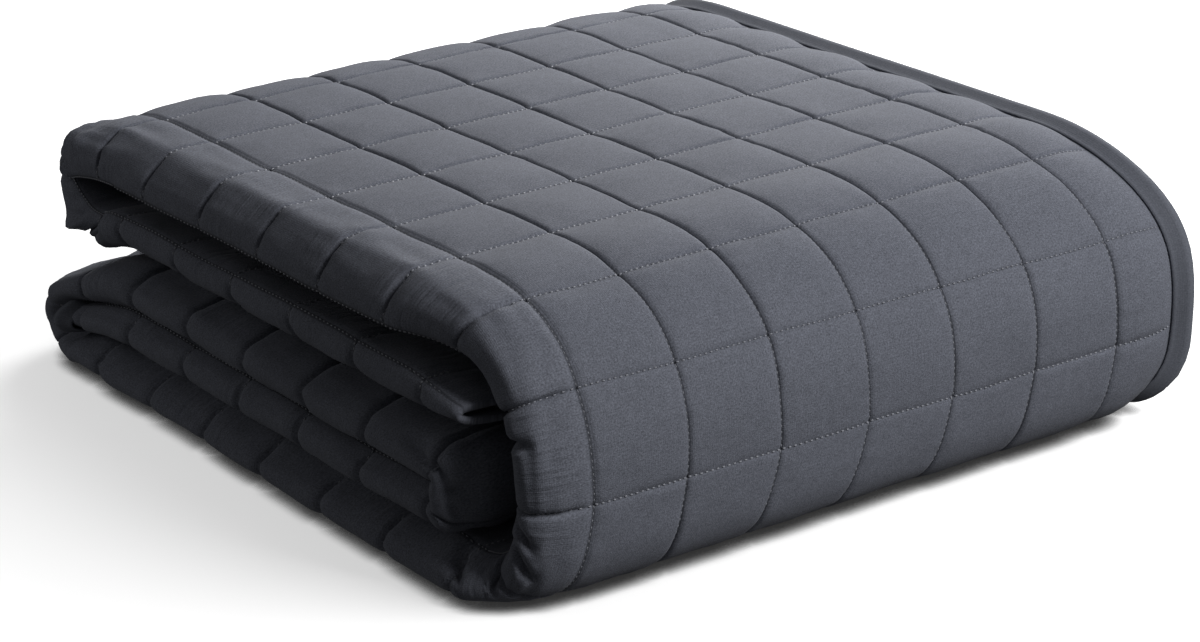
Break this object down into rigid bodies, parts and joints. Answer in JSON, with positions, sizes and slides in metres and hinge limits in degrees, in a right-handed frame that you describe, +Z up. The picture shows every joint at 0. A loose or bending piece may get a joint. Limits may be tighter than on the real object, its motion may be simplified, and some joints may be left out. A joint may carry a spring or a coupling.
{
  "type": "folded weighted blanket",
  "caption": "Quilted weighted blanket with a bound edge, its sides folded in and the strip folded back and forth into a flat-lying pile.",
  "frame": {"origin": "centre of the pile's footprint, on the surface it lies on", "axes": "+Z up; +Y from the rolled front to the back of the pile; +X along the front, towards the bound long edge"},
  "size_m": [0.4116, 0.437, 0.1362],
  "materials": {
    "blanket_cloth": "matte woven cotton",
    "binding_cloth": "matte woven cotton tape"
  },
  "bodies": {
    "root": {"blanket": "blanket_cloth", "binding_side": "binding_cloth", "binding_end": "binding_cloth"}
  },
  "joints": []
}
